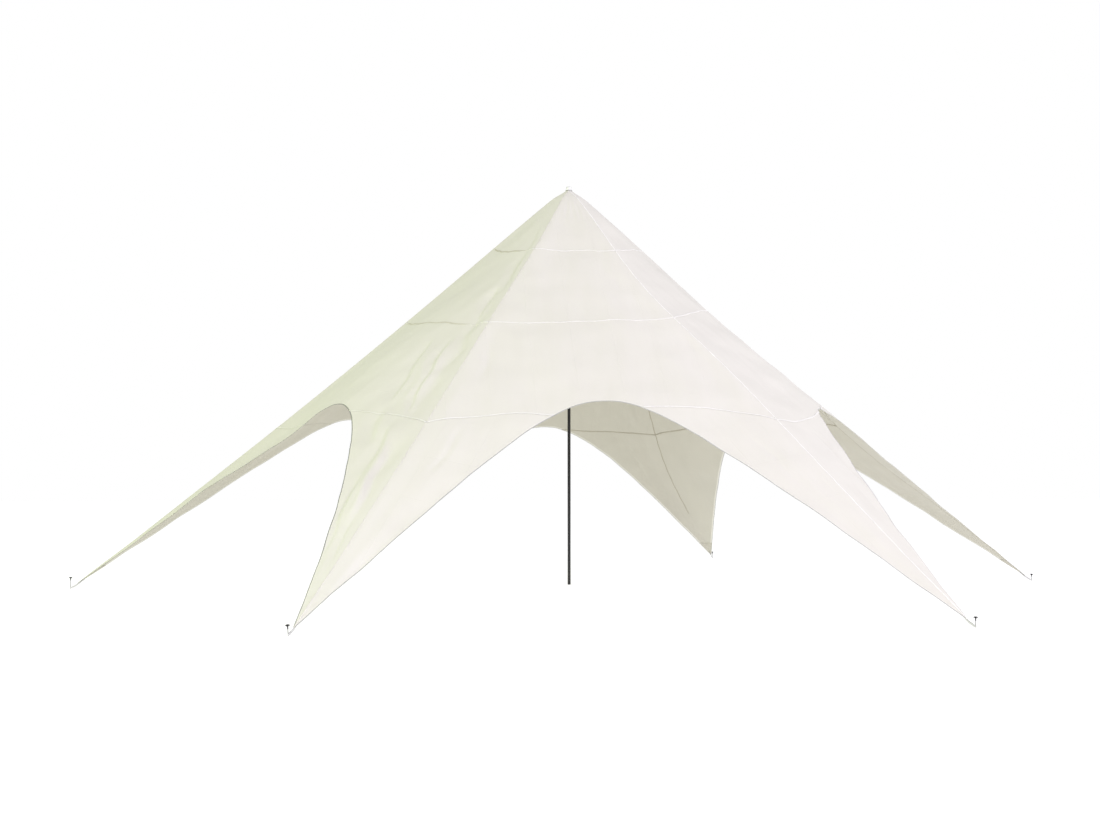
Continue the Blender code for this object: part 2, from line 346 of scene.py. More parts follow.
def stray(gore, s, t):
    """How far the cloth is drawn sideways (as x and y) and down with the ridges beside it."""
    half = half_width(t)
    x, y, down = np.zeros_like(s), np.zeros_like(s), np.zeros_like(s)
    for arm, side in ((gore, -1.0), (gore % ARMS + 1, 1.0)):
        reach_in = (1.0 - 0.38 * smooth((t - 3.0) / 1.2)) * half
        room = np.maximum(0.92 * np.minimum(reach_in, half - hem_reach(gore, t, side)), 0.02)
        weight = smooth(1.0 - (half - side * s) / room) * smooth((CORNER - t) / 0.8)
        bearing = 2 * HALF_GORE * (arm - 1)
        for across, drop, where, reach in RIDGE_STRAY.get(arm, []):
            pull = weight * np.exp(-(((t - where) / reach) ** 2))
            x, y = x - math.sin(bearing) * across * pull, y + math.cos(bearing) * across * pull
            down = down + drop * pull
    return x, y, down


print("ridges that stray", sorted(RIDGE_STRAY))

# %% The pitched surface
def pitched(gore, s, t, lift=0.0):
    """The places in the air of the points s, t of a gore, as an array of x, y, z."""
    s, t = np.broadcast_arrays(np.asarray(s, float), np.asarray(t, float))
    from_ridge = np.maximum(half_width(t) - np.abs(s), 0.0)
    out = ARCHES[gore][3] * swell(s, t)
    if gore in HOLLOWS:
        s_mid, t_mid, s_reach, t_reach, depth = HOLLOWS[gore]
        dip = np.exp(-(((s - s_mid) / s_reach) ** 2) - ((t - t_mid) / t_reach) ** 2)
        out = out - depth * dip * (1.0 - np.exp(-((from_ridge / 0.2) ** 2)))
    out = out + relief(gore, s, t) + lift
    x = RUN * t + FALL * out
    z = RIDGE_APEX - FALL * t + RUN * out + ridge_sag(t) + ridge_rounding(t, from_ridge)
    turn = HALF_GORE * (2 * gore - 1)
    east, north, down = stray(gore, s, t)
    east = east + x * math.cos(turn) - s * math.sin(turn)
    north = north + x * math.sin(turn) + s * math.cos(turn)
    return np.stack([east, north, z - down], -1)


top_of_arch = pitched(5, 0.0, hem_line(5, 0.0))
print("height of the front arch", round(float(top_of_arch[2]), 3))

# %% [markdown]
# ## Where the seams cross a gore
#
# Tent cloth comes off the roll about one and a half metres wide, so each gore is sewn from level
# strips, and their seams ring the tent three times. The rings aren't quite level in the photo.
# Each ring is given by how far down it crosses each ridge, plus a dip between them, and the lowest
# one is also skewed on three gores and hangs to the arch on the front one.

# %% Seam rings
# How far down each ring crosses ridges 1 to 6, and how much deeper it hangs on gores 1 to 6.
SEAM_RINGS = [
    ((1.13, 1.30, 1.30, 1.13, 1.35, 1.29), (0.05, 0.06, 0.06, 0.07, 0.06, 0.02)),
    ((2.25, 2.60, 2.58, 2.43, 2.72, 2.54), (0.10, 0.12, 0.12, 0.15, 0.14, -0.01)),
    ((4.12, 4.26, 4.28, 4.31, 4.37, 4.30), (-0.03, 0.07, 0.05, 0.06, -0.09, 0.01)),
]
LOWEST = 2
SEAM_WANDER = 0.005
SEAM_SKEWS = {(LOWEST, 4): -0.10, (LOWEST, 5): -0.07, (LOWEST, 6): -0.32}
FRONT_HANG = 0.165


def seam_line(ring, gore, share):
    """How far down a gore its seam lies; share is 0 in the middle and -1 and 1 on the ridges."""
    crossings, dips = SEAM_RINGS[ring]
    first, second = crossings[gore - 1], crossings[gore % ARMS]
    level = first + (second - first) * (share + 1.0) / 2.0
    wander = SEAM_WANDER * (np.sin(7.0 * share + 2.1 * gore + ring) + np.sin(17.0 * share + 1.3 * gore))
    skew = SEAM_SKEWS.get((ring, gore), 0.0) * share
    hang = FRONT_HANG * np.exp(-(((share + 0.12) / 0.3) ** 2)) if (ring, gore) == (LOWEST, 5) else 0.0
    return level + (dips[gore - 1] + wander + skew) * (1.0 - share**2) + hang


print("rings cross ridge 1 at", [ring[0][0] for ring in SEAM_RINGS])

# %% [markdown]
# ## A class for shader maths
#
# A shader's maths is easier to read as an expression than as a web of nodes. `Thread` wraps one
# output of one node, and Python's operators on it add Math nodes. `Finish` holds a material's
# tree and adds every other kind of node by one method, `add`. The methods after it are short
# names for what several finishes share, such as a noise, ribs or a mottled ground.

# %% One value in a material
class Thread:
    """One value in a material, such as a mask or a height."""

    def __init__(self, finish, socket):
        self.finish = finish
        self.socket = socket

    def math(self, operation, *others):
        values = dict(enumerate((self, *others)))
        return self.finish.add("Math", {"operation": operation}, values)

    def __add__(self, other):
        return self.math("ADD", other)

    __radd__ = __add__

    def __mul__(self, other):
        return self.math("MULTIPLY", other)

    __rmul__ = __mul__

    def __sub__(self, other):
        return self.math("SUBTRACT", other)

    def __rsub__(self, other):
        return self * -1.0 + other

    def __truediv__(self, other):
        return self.math("DIVIDE", other)

    def rise(self, low, high):
        """A smooth step from 0 at low to 1 at high."""
        settings = {"interpolation_type": "SMOOTHSTEP", "clamp": True}
        return self.finish.add("MapRange", settings, {"Value": self, "From Min": low, "From Max": high})


print("a thread can be added, subtracted, multiplied, divided or made a smooth step")

# %% A material and its nodes
class Finish:
    """A material whose nodes are added one by one."""

    def __init__(self, name):
        self.material = bpy.data.materials.new(name)
        self.material.use_nodes = True
        self.tree = self.material.node_tree
        self.tree.nodes.clear()

    def add(self, kind, settings=None, sockets=None, output=0):
        """Adds a node, with its settings first, and returns one of its outputs."""
        node = self.tree.nodes.new("ShaderNode" + kind)
        for name, value in (settings or {}).items():
            setattr(node, name, value)
        for name, value in (sockets or {}).items():
            if isinstance(value, Thread):
                self.tree.links.new(value.socket, node.inputs[name])
            else:
                node.inputs[name].default_value = value
        return Thread(self, node.outputs[output]) if len(node.outputs) else None

    @cached_property
    def place(self):
        """Where the point lies on the object, in metres."""
        return self.add("TexCoord", output=3)

    @cached_property
    def laid(self):
        """Where the point lies on the flat cloth or along a strip, in metres."""
        return self.add("UVMap", {"uv_map": "laid_flat"})

    def axis(self, where, number):
        """One coordinate of a place: 0, 1 or 2 for x, y or z."""
        return self.add("SeparateXYZ", None, {0: where}, output=number)

    def measured(self, name):
        """A number that each vertex of the piece carries."""
        return self.add("Attribute", {"attribute_name": name}, output=2)

    def noise(self, where, scale, detail=4.0, roughness=0.55):
        sockets = {"Vector": where, "Scale": scale, "Detail": detail, "Roughness": roughness}
        return self.add("TexNoise", None, sockets)

    def stretched(self, where, scale):
        """The same place on a grid that is stretched along its axes."""
        return self.add("Mapping", None, {"Vector": where, "Scale": scale})

    def ribs(self, direction, scale):
        settings = {"wave_type": "BANDS", "bands_direction": direction}
        return self.add("TexWave", settings, {"Vector": self.laid, "Scale": scale})

    def blend(self, share, first, second):
        """Mixes two colours by share."""
        settings = {"data_type": "RGBA", "blend_type": "MIX"}
        return self.add("Mix", settings, {0: share, 6: first, 7: second}, output=2)

    def mottled(self, scale, first, second, detail=4.0):
        """Two tones in soft patches, the ground of most finishes."""
        return self.blend(self.noise(self.place, scale, detail).rise(0.3, 0.7), first, second)

    def bumps(self, *layers):
        """Bump nodes in a chain, the finest first: each layer is a height and its depth in metres."""
        normal = None
        for height, depth in layers:
            below = {} if normal is None else {"Normal": normal}
            normal = self.add("Bump", None, {"Height": height, "Distance": depth, **below})
        return normal

    def paint(self, tone, roughness, normal=None, others=None):
        """Ends the material with its shader and returns it."""
        sockets = {"Base Color": tone, "Roughness": roughness, **(others or {})}
        if normal is not None:
            sockets["Normal"] = normal
        self.add("OutputMaterial", None, {"Surface": self.add("BsdfPrincipled", None, sockets)})
        return self.material


def rgb(*parts):
    return (*parts, 1.0)


print("helpers ready")

# %% [markdown]
# ## The cloth's finish
#
# The tent is woven polyester, matt and cream outside. Its inside gets a darker grey-brown finish,
# painted shade that stands for the dim underside of the canopy, so each face of the cloth gets a finish of
# its own, and no light is let through.
#
# Three scales of detail keep it from looking like paper. Broad patches shift the tone by a few
# parts in a hundred, the creases from packing run in a faint grid, and the weave is a fine bump.
# Along the hem the cloth is doubled and a little paler.

# %% Cloth
CLOTH_CREAM = rgb(0.765, 0.745, 0.678)
CLOTH_SHADE = rgb(0.735, 0.716, 0.645)
CLOTH_SOIL = rgb(0.560, 0.520, 0.420)
CLOTH_DOUBLED = rgb(0.80, 0.79, 0.72)
# Painted shade: the inside face's tones are dark to stand for the shade under the canopy.
INSIDE_SHADED_CREAM = rgb(0.550, 0.530, 0.450)
INSIDE_SHADE = rgb(0.510, 0.490, 0.415)
HEM_FOLD = 0.030
WEAVE_DEPTH = 0.00003


def weave(finish):
    """A plain weave: threads that rise in turn, about two to the millimetre."""
    return finish.ribs("X", 240.0) * 0.5 + finish.ribs("Y", 240.0) * 0.5


def packing_creases(finish):
    """Faint straight creases where the tent was folded into its bag."""
    lines = []
    for number, waver, spacing in ((0, 1.3, 0.46), (1, 1.7, 0.62)):
        warped = finish.axis(finish.laid, number) + finish.noise(finish.laid, waver, 2.0) * 0.03
        near = (warped / spacing).math("FRACT") - 0.5
        lines.append(1.0 - near.math("ABSOLUTE").rise(0.0, 0.007 / spacing))
    return lines[0].math("MAXIMUM", lines[1])


def cloth_finish(name, light, dark, facing):
    """The cloth's outside or inside; facing is how much paler the doubled hem looks."""
    finish = Finish(name)
    place, laid = finish.place, finish.laid
    broad = finish.noise(place, 0.55, 3.0).rise(0.30, 0.72)
    streaks = finish.noise(finish.stretched(laid, (5.0, 0.7, 1.0)), 1.0, 4.0).rise(0.35, 0.75)
    tone = finish.blend(broad * 0.6 + streaks * 0.4, light, dark)
    creases = packing_creases(finish)
    # The creases are painted a little darker too, as painted shade in their folds.
    tone = finish.blend(creases * 0.10, tone, dark)
    height = finish.axis(place, 2)
    splash = (1.0 - height.rise(0.02, 0.55)) * finish.noise(place, 9.0, 6.0).rise(0.42, 0.75)
    tone = finish.blend(splash * 0.30, tone, CLOTH_SOIL)
    doubled = 1.0 - finish.measured("from_hem").rise(HEM_FOLD - 0.002, HEM_FOLD + 0.002)
    tone = finish.blend(doubled * facing, tone, CLOTH_DOUBLED)
    wrinkles = finish.noise(finish.stretched(laid, (9.0, 4.0, 1.0)), 1.0, 2.0, 0.5)
    layers = ((weave(finish), WEAVE_DEPTH), (wrinkles, 0.0030), (creases, 0.0009), (doubled, 0.0008))
    roughness = 0.62 + finish.noise(place, 2.4, 3.0) * 0.16
    sheen = {"Specular IOR Level": 0.35, "Sheen Weight": 0.10, "Sheen Roughness": 0.5}
    return finish.paint(tone, roughness, finish.bumps(*layers), sheen)


cloth_outside = cloth_finish("cloth_outside", CLOTH_CREAM, CLOTH_SHADE, 0.25)
cloth_inside = cloth_finish("cloth_inside", INSIDE_SHADED_CREAM, INSIDE_SHADE, 0.55)
print("cloth nodes", len(cloth_outside.node_tree.nodes))

# %% [markdown]
# ## Cutting a panel and pitching it
#
# A panel starts as one flat grid on the cutting table. For the upper part of a gore the grid is cut
# along both ridges by `bisect_plane`, as a knife would, which leaves clean straight edges and even
# cells. Then the flat places are stored, as a UV map in metres for the weave and as distances from
# the hem for its doubling, and each vertex is lifted to its place in the air. A Solidify
# modifier gives the thickness and puts the inside's finish on the inner face.

# %% Meshes on the cutting table
def flat_grid(across, down):
    """A flat grid from 0 to 1 both ways, with its faces turned down, which is outwards once pitched."""
    shape = bmesh.new()
    bmesh.ops.create_grid(shape, x_segments=across, y_segments=down, size=0.5)
    bmesh.ops.translate(shape, verts=shape.verts[:], vec=(0.5, 0.5, 0.0))
    bmesh.ops.reverse_faces(shape, faces=shape.faces[:])
    return shape


def as_mesh(shape, name):
    """Turns a finished bmesh into a mesh."""
    mesh = bpy.data.meshes.new(name)
    shape.to_mesh(mesh)
    shape.free()
    return mesh


def corners_of(mesh):
    """A mesh's vertices as an array."""
    places = np.zeros(len(mesh.vertices) * 3, np.float32)
    mesh.vertices.foreach_get("co", places)
    return places.reshape(-1, 3).astype(float)


def move_corners(mesh, places):
    mesh.vertices.foreach_set("co", np.asarray(places, np.float32).ravel())
    mesh.update()


def remember_flat(mesh, flat):
    """Stores each vertex's place on the flat cloth as a UV map in metres."""
    layer = mesh.uv_layers.new(name="laid_flat")
    owner = np.zeros(len(mesh.loops), np.int32)
    mesh.loops.foreach_get("vertex_index", owner)
    layer.data.foreach_set("uv", np.asarray(flat, np.float32)[owner].ravel())


def remember_number(mesh, name, values):
    """Gives each vertex a number that the finish can read."""
    attribute = mesh.attributes.new(name, "FLOAT", "POINT")
    attribute.data.foreach_set("value", np.asarray(values, np.float32))


print("a mesh can be cut flat and remember where its corners lay")

# %% From a mesh to a piece of the tent
CLOTH_THICKNESS = 0.0012


def new_piece(name, mesh, slot, *materials, nodes=()):
    """A finished piece of the tent, which rides on its one body and may stand for CAD nodes."""
    made = in_scene(name, mesh)
    for material in materials:
        mesh.materials.append(material)
    mesh.shade_smooth()
    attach(made, "root")
    if nodes:
        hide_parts(*nodes)
    return made


def thicken(piece, thickness, offset, inner_slot=0):
    modifier = piece.modifiers.new("thickness", "SOLIDIFY")
    modifier.thickness = thickness
    modifier.offset = offset
    modifier.material_offset = inner_slot
    modifier.use_even_offset = False


def hem_distance(gore, s, t):
    """How far a place on the cloth lies from the hem, measured square to it."""
    return (hem_line(gore, s) - t) / np.hypot(1.0, hem_lean(gore, s))


def cloth_panel(name, mesh, flat, places, from_hem, nodes):
    """Measures a panel while it is flat, then pitches it; gives it, its flat size and its area."""
    move_corners(mesh, np.column_stack([flat, np.zeros(len(flat))]))
    area = sum(face.area for face in mesh.polygons)
    remember_flat(mesh, flat)
    remember_number(mesh, "from_hem", from_hem)
    move_corners(mesh, places)
    panel = new_piece(name, mesh, "cloth", cloth_outside, cloth_inside, nodes=nodes)
    thicken(panel, CLOTH_THICKNESS, -1.0, 1)
    size = tuple(float(length) for length in flat.max(0) - flat.min(0))
    print(name, "flat", [round(x, 2) for x in size], "area", round(area, 2))
    return panel, size, area


print("cloth is", CLOTH_THICKNESS * 1000, "mm thick here")

# %% Upper panels
CLOTH_CELL = 0.024
FINE_CELL = {4: 0.0165, 5: 0.019}
COLLAR_REACH = 0.042
SLIVER = 0.0012
# About how far down the panels end and the lowest ring lies.
TOP_DEPTH = 4.3
RING_DEPTH = 4.33


def upper_panel(gore):
    """The upper part of a gore, from the collar down to the last seam and the top of the arch."""
    widest = half_width(max(SEAM_RINGS[LOWEST][0]) + 0.08)
    cell = FINE_CELL.get(gore, CLOTH_CELL)
    shape = flat_grid(2 * round(widest / cell), round((TOP_DEPTH - COLLAR_REACH) / cell))
    for vert in shape.verts:
        vert.co.x = (vert.co.x - 0.5) * 2 * widest
        seam = float(seam_line(LOWEST, gore, np.clip(vert.co.x / half_width(RING_DEPTH), -1.0, 1.0)))
        end = min(seam, float(hem_line(gore, vert.co.x)))
        vert.co.y = COLLAR_REACH + (end - COLLAR_REACH) * vert.co.y
    for side in (-1.0, 1.0):
        bmesh.ops.bisect_plane(
            shape,
            geom=shape.verts[:] + shape.edges[:] + shape.faces[:],
            dist=1e-6,
            plane_co=(0.0, 0.0, 0.0),
            plane_no=(side, -CHORD_HALF / SLOPE_LENGTH, 0.0),
            clear_outer=True,
        )
    bmesh.ops.remove_doubles(shape, verts=shape.verts[:], dist=SLIVER)
    mesh = as_mesh(shape, f"cloth_top_{gore}")
    flat = corners_of(mesh)[:, :2]
    s, t = flat.T
    nodes = [f"canopy_top_{gore}"]
    return cloth_panel(mesh.name, mesh, flat, pitched(gore, s, t), hem_distance(gore, s, t), nodes)


cloth_tops = {gore: upper_panel(gore) for gore in ARCHES}

# %% [markdown]
# ## The arms
#
# An arm is two wings of cloth, one from each neighbouring gore, sewn together along the ridge. It
# is laid out as one grid with the ridge as its middle column, so the fold along the ridge is a
# single sharp edge and nothing gapes there. Each wing has three given edges, its ridge, its hem and
# its seam, and the grid between them is blended from all three, which keeps its cells even.
#
# On the cutting table the two wings lie open, side by side along the ridge. That opened shape is
# what the UV map stores, and what gives the arm's flat size.

# %% Wings
ARM_ROWS = 112
ROWS_PER_METRE = 30
HEM_SAMPLES = 4001


def notch_share(gore, side):
    """The share of the width at which the last seam meets the arch, on one side."""
    share = 0.3
    for _ in range(30):
        t = float(seam_line(LOWEST, gore, side * share))
        share = 0.5 * share + 0.5 * float(hem_reach(gore, t, side) / half_width(t))
    return share


def along_hem(gore, start, end, share):
    """Places on the hem at shares of its length from s = start to s = end, and that length."""
    s = np.linspace(start, end, HEM_SAMPLES)
    along = np.concatenate([[0.0], np.cumsum(np.hypot(np.diff(s), np.diff(hem_line(gore, s))))])
    return np.interp(share * along[-1], along, s), along[-1]


def wing_places(gore, side, width, down):
    """s and t on one wing: width from 0 at the ridge to 1 at the hem, down from the seam to the tip."""
    notch = notch_share(gore, side)

    def on_seam(width):
        share = side * (1.0 - width * (1.0 - notch))
        t = seam_line(LOWEST, gore, share)
        return np.stack([share * half_width(t), t])

    def on_ridge(down):
        top = seam_line(LOWEST, gore, side)
        t = top + (CORNER - top) * down
        return np.stack([side * half_width(t), t])

    def on_hem(down):
        """Along the hem; where the seam passes over the arch, first straight down to it."""
        start, top = on_seam(1.0)
        drop = hem_line(gore, start) - top
        turn = round(ROWS_PER_METRE * drop) / ARM_ROWS
        s, _ = along_hem(gore, start, side * HEM_TIP, np.maximum(down - turn, 0.0) / (1.0 - turn))
        return np.stack([s, hem_line(gore, s) - drop * np.maximum(1.0 - down / max(turn, 1e-6), 0.0)])

    between = (1.0 - width) * on_ridge(down) + width * on_hem(down)
    straight = (1.0 - width) * on_ridge(0.0)[:, None] + width * on_seam(1.0)[:, None]
    return between + (1.0 - down) * (on_seam(width) - straight)


print("the last seam of gore 5 meets its arch at", round(notch_share(5, 1.0), 3), "of the half width")

# %% Arms
RIDGE_LEAN = math.atan(CHORD_HALF / SLOPE_LENGTH)
ARM_COLUMNS = 38


def opened_flat(u, s, t):
    """Where a place of an arm lies when its wings are opened flat beside the ridge."""
    off = (half_width(t) - np.abs(s)) * math.cos(RIDGE_LEAN)
    along = t / math.cos(RIDGE_LEAN) - off * math.tan(RIDGE_LEAN)
    return np.stack([np.sign(u) * off, along], -1)


def gore_before(arm):
    return arm - 1 if arm > 1 else ARMS


def arm_panel(arm):
    """Both wings of an arm: u runs from hem to hem across the ridge, and v from the seam to the tip."""
    mesh = as_mesh(flat_grid(2 * ARM_COLUMNS, ARM_ROWS), f"cloth_arm_{arm}")
    grid = corners_of(mesh)
    u, v = np.round(grid[:, 0] * 2.0 - 1.0, 6), grid[:, 1]
    before = gore_before(arm)
    first = u < 0.0
    s, t = np.where(first, wing_places(before, 1.0, np.abs(u), v), wing_places(arm, -1.0, np.abs(u), v))
    places = np.where(first[:, None], pitched(before, s, t), pitched(arm, s, t))
    from_hem = np.where(first, hem_distance(before, s, t), hem_distance(arm, s, t))
    nodes = [f"canopy_wing_left_{before}", f"canopy_wing_right_{arm}"]
    return cloth_panel(mesh.name, mesh, opened_flat(u, s, t), places, from_hem, nodes)


cloth_arms = {arm: arm_panel(arm) for arm in range(1, ARMS + 1)}

# %% [markdown]
# ## Sewn strips
#
# Seams, tapes and webbing are all long narrow strips with a section of their own. `sewn_strip`
# lays a grid whose columns are the corners of that section and whose rows are stations along the
# strip, and a callback says where each corner goes. The UV map runs in metres along and across
# the strip, so that one finish can draw stitches along any of them.

# %% Strip helper
def sewn_strip(name, size, place, material, thickness, side, slot="cloth", nodes=(), **numbers):
    """A strip of size (stations, corners in its section); corner j of station i lies at place(i, j).

    Every name in numbers is a value that the finish reads, or a function that gives it for each row.
    """
    stations, section = size
    mesh = as_mesh(flat_grid(section - 1, stations - 1), name)
    grid = corners_of(mesh)
    column = np.round(grid[:, 0] * (section - 1)).astype(int)
    row = np.round(grid[:, 1] * (stations - 1)).astype(int)
    places = place(row, column)
    table = np.zeros((stations, section, 3))
    table[row, column] = places
    steps_down = np.linalg.norm(np.diff(table[:, section // 2], axis=0), axis=1)
    steps_across = np.linalg.norm(np.diff(table, axis=1), axis=2).mean(0)
    along, across = (np.concatenate([[0.0], np.cumsum(steps)]) for steps in (steps_down, steps_across))
    remember_flat(mesh, np.column_stack([along[row], across[column]]))
    for title, value in numbers.items():
        remember_number(mesh, title, value(row) if callable(value) else np.full(len(row), value))
    move_corners(mesh, places)
    strip = new_piece(name, mesh, slot, material, nodes=nodes)
    thicken(strip, thickness, side)
    return strip


print("strip helper ready")

# %% [markdown]
# ## Cross seams and ridge seams
#
# Where two strips of cloth meet, their edges are folded into each other and sewn down with two
# rows of stitches. Outside, four layers of cloth stand a couple of millimetres proud and catch
# the light as a clear line, and their paler tone is partly the doubled cloth and partly a painted highlight.
# Inside, the allowance is covered with a narrow tape, whose dark tone is painted shadow along the seam. The
# ridge seams are made the same way, but folded over the ridge like a roof and pressed flatter, with a paler
# painted highlight.
#
# A section is a list of corners, each with its share of the seam's width and its height over the
# cloth. Some seams look darker in the photo, and a number on each vertex darkens those with painted shade.

# %% Seam finishes
SEAM_WIDTH = 0.018
RIDGE_WIDTH = 0.016
# Painted shade: the dark tone that seams on shaded gores are blended towards.
SEAM_SHADE_TONE = rgb(0.48, 0.44, 0.33)
THREAD_CREAM = rgb(0.86, 0.85, 0.80)
STITCH_LENGTH = 0.0045
STITCH_WIDTH = 0.0009


def stitch_rows(finish, *rows):
    """A mask of stitches: short dashes in rows at the given distances across the strip."""
    part = (finish.axis(finish.laid, 0) / STITCH_LENGTH).math("FRACT")
    dash = part.math("GREATER_THAN", 0.12) * part.math("LESS_THAN", 0.82)
    across = finish.axis(finish.laid, 1)
    off = [(across - row).math("ABSOLUTE").rise(STITCH_WIDTH * 0.4, STITCH_WIDTH) for row in rows]
    near = [1.0 - far for far in off]
    return dash * (near[0].math("MAXIMUM", near[1]) if len(near) > 1 else near[0])


def seam_finish(name, width, light, dark):
    finish = Finish(name)
    # Seams are darkened with painted shade by the number each vertex carries.
    tone = finish.blend(finish.measured("weathered"), finish.mottled(3.0, light, dark), SEAM_SHADE_TONE)
    stitches = stitch_rows(finish, width * 0.16, width * 0.84)
    tone = finish.blend(stitches * 0.6, tone, THREAD_CREAM)
    pucker = finish.noise(finish.stretched(finish.laid, (70.0, 25.0, 1.0)), 1.0, 3.0)
    normal = finish.bumps((weave(finish), WEAVE_DEPTH), (pucker, 0.0016), (stitches, 0.0005))
    roughness = 0.6 + finish.noise(finish.place, 6.0, 3.0) * 0.15
    return finish.paint(tone, roughness, normal, {"Specular IOR Level": 0.35})


# Paler than the cloth: partly the doubled cloth, partly a painted highlight on the raised seam.
seam_doubled_and_highlight = seam_finish("seam_doubled_and_highlight", SEAM_WIDTH, rgb(0.87, 0.855, 0.81), rgb(0.84, 0.825, 0.775))
# Paler still: a painted highlight along the ridge, over the folded cloth.
ridge_doubled_and_highlight = seam_finish("ridge_doubled_and_highlight", RIDGE_WIDTH, rgb(0.93, 0.915, 0.875), rgb(0.90, 0.885, 0.845))
# The tape's dark tone is painted shadow along the seams inside.
inner_tape_painted_shadow = seam_finish("inner_tape_painted_shadow", SEAM_WIDTH, rgb(0.40, 0.37, 0.28), rgb(0.34, 0.31, 0.23))
pale_tape = seam_finish("pale_tape", SEAM_WIDTH, INSIDE_SHADED_CREAM, INSIDE_SHADE)
print("seam finishes ready")

# %% Cross seams
SEAM_STEP = 0.024
# How much painted shade darkens the seams, for each gore and ring.
SEAM_PAINTED_SHADE = {(4, 0): 0.75, (4, 1): 0.60, (4, LOWEST): 0.12, (3, 0): 0.4, (3, 1): 0.4}
PALE_TAPED = (3, LOWEST)
SEAM_SECTION = np.array([(-0.5, 0.0008), (-0.42, 0.0026), (0.0, 0.0030), (0.42, 0.0026), (0.5, 0.0008)])
SEAM_THICKNESS = 0.0005
NOTCH_GAP = 0.008


def cross_seam(gore, ring, first_share, last_share, name, inside=False):
    """One seam across a gore, between two shares of its width, or the tape that covers it inside."""
    middle = half_width(float(seam_line(ring, gore, 0.0)))
    stations = max(6, round(middle * abs(last_share - first_share) / SEAM_STEP))
    offsets, lifts = (SEAM_SECTION * (SEAM_WIDTH, 1.0)).T
    shade_share = 0.0 if inside else SEAM_PAINTED_SHADE.get((gore, ring), 0.0)

    def share_at(row):
        return first_share + (last_share - first_share) * row / (stations - 1)

    def place(row, column):
        t = seam_line(ring, gore, share_at(row)) + offsets[column]
        lift = -CLOTH_THICKNESS - 0.4 * lifts[column] if inside else lifts[column]
        return pitched(gore, share_at(row) * half_width(t), t, lift)

    # The share of painted shade along the seam, fading out towards both ridges.
    def weathered(row):
        return shade_share * smooth((1.0 - share_at(row)) / 0.6) * smooth((share_at(row) + 1.0) / 0.3)

    tape = pale_tape if (gore, ring) == PALE_TAPED else inner_tape_painted_shadow
    material, side = (tape, 1.0) if inside else (seam_doubled_and_highlight, -1.0)
    size = stations, len(offsets)
    return sewn_strip(name, size, place, material, SEAM_THICKNESS, side, weathered=weathered)


cross_seams = {}
for gore in ARCHES:
    right, left = (notch_share(gore, side) + NOTCH_GAP for side in (-1.0, 1.0))
    cross_seams[gore] = []
    for name, ring, first, last in (
        ("upper", 0, -1.0, 1.0),
        ("middle", 1, -1.0, 1.0),
        ("lower_right", LOWEST, -1.0, -right),
        ("lower_left", LOWEST, left, 1.0),
    ):
        cross_seams[gore].append(cross_seam(gore, ring, first, last, f"seam_{name}_{gore}"))
        cross_seams[gore].append(cross_seam(gore, ring, first, last, f"seam_tape_{name}_{gore}", inside=True))
print("cross seams and their tapes", sum(len(seams) for seams in cross_seams.values()))

# %% Ridge seams
RIDGE_STEP = 0.03
RIDGE_SECTION = np.array([(-0.5, 0.0007), (-0.38, 0.0013), (0.0, 0.0016), (0.38, 0.0013), (0.5, 0.0007)])
# How much painted shade darkens each ridge seam, for the ridges that lie in shade.
RIDGE_PAINTED_SHADE = {5: 0.38, 4: 0.35, 1: 0.20, 2: 0.20, 3: 0.20}
RIDGE_THICKNESS = 0.0006
RIDGE_TOP = 0.036
TAPE_SHORT = {2: 1.05}


def ridge_places(arm, t, off, lift):
    """Places beside a ridge: off is negative on the gore before it and positive on the next."""
    half = half_width(t)
    first = pitched(gore_before(arm), half - np.maximum(-off, 0.0) / math.cos(RIDGE_LEAN), t, lift)
    second = pitched(arm, np.maximum(off, 0.0) / math.cos(RIDGE_LEAN) - half, t, lift)
    middle = (first + second) / 2.0
    return np.where((off < 0)[:, None], first, np.where((off > 0)[:, None], second, middle))


def ridge_seam(arm, inside=False):
    """The folded seam over a ridge, from the collar to the tip, or the tape under it."""
    first, last = RIDGE_TOP, CORNER - (TAPE_SHORT.get(arm, 0.10) if inside else 0.004)
    stations = round((last - first) / RIDGE_STEP)
    offsets, lifts = (RIDGE_SECTION * (RIDGE_WIDTH, 1.0)).T

    def place(row, column):
        t = first + (last - first) * row / (stations - 1)
        room = 0.8 * half_width(t)
        wander = 0.003 * np.sin(t * 21.0 + arm) * smooth(t / 1.5) * smooth((6.6 - t) / 0.5)
        lift = -CLOTH_THICKNESS - 0.5 * lifts[column] if inside else lifts[column]
        return ridge_places(arm, t, np.clip(offsets[column] + wander, -room, room), lift)

    name, material, side = ("ridge_tape", inner_tape_painted_shadow, 1.0) if inside else ("ridge_seam", ridge_doubled_and_highlight, -1.0)
    name, size = f"{name}_{arm}", (stations, len(offsets))
    shade_share = 0.0 if inside else RIDGE_PAINTED_SHADE.get(arm, 0.0)
    return sewn_strip(name, size, place, material, RIDGE_THICKNESS, side, weathered=shade_share)


ridge_seams = {arm: [ridge_seam(arm), ridge_seam(arm, inside=True)] for arm in range(1, ARMS + 1)}
print("ridge seams and their tapes", sum(len(seams) for seams in ridge_seams.values()))

# %% [markdown]
# ## The hem
#
# The hem carries the tension from peg to peg, so its edge is bound with a grey tape that is folded
# round it and sewn through. From the front the tape is the thin grey line that draws
# the arches. Its section is a long U, with the cloth's edge inside. The number "shade" darkens the
# tape on the two front arches with painted shade, as in the photo.

# %% Hem tape
TAPE_WIDTH = 0.010
TAPE_THICKNESS = 0.0008
HEM_STEP = 0.03
# How much painted shade darkens the hem tape, for each gore.
HEM_PAINTED_SHADE = {4: 0.85, 5: 0.35}
